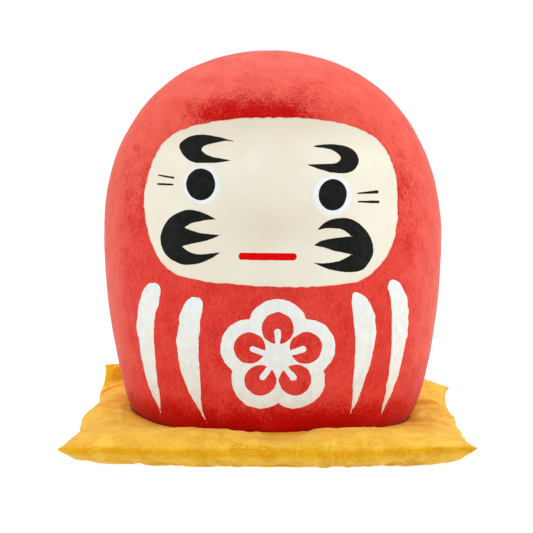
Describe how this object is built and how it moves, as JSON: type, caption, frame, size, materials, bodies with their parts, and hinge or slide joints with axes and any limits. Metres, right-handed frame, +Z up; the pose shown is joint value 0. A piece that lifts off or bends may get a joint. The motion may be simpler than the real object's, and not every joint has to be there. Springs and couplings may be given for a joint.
{
  "type": "daruma doll on cushion",
  "caption": "Hollow papier-mache daruma doll with a sunken face and weighted base, sitting in the dent of a thin square paper-covered cushion and lifting off it.",
  "frame": {"origin": "on the table under the middle of the square cushion", "axes": "+Z up through the doll's crown, the doll's face looks along -Y, +X is to the right seen from in front"},
  "size_m": [0.167, 0.167, 0.1688],
  "materials": {
    "red_washi_front": "matte",
    "red_washi_rear": "matte",
    "face_panel": "satin",
    "front_shell": "matte",
    "rear_shell": "matte",
    "seam_band": "matte",
    "base_cup": "matte",
    "clay_weight": "matte",
    "base_paper": "matte",
    "cushion_cover_top": "matte",
    "cushion_cover_bottom": "matte",
    "cushion_filling": "matte"
  },
  "bodies": {
    "cushion": {"cushion_cover_top": "cushion_cover_top", "cushion_cover_bottom": "cushion_cover_bottom", "cushion_filling": "cushion_filling"},
    "doll": {"red_washi_front": "red_washi_front", "red_washi_rear": "red_washi_rear", "face_panel": "face_panel", "front_shell": "front_shell", "rear_shell": "rear_shell", "seam_band": "seam_band", "base_cup": "base_cup", "clay_weight": "clay_weight", "base_paper": "base_paper"}
  },
  "joints": [
    {"name": "doll_lift", "type": "slide", "parent": "cushion", "child": "doll", "axis": [0, 0, 1], "range_m": [0, 0.12]}
  ]
}
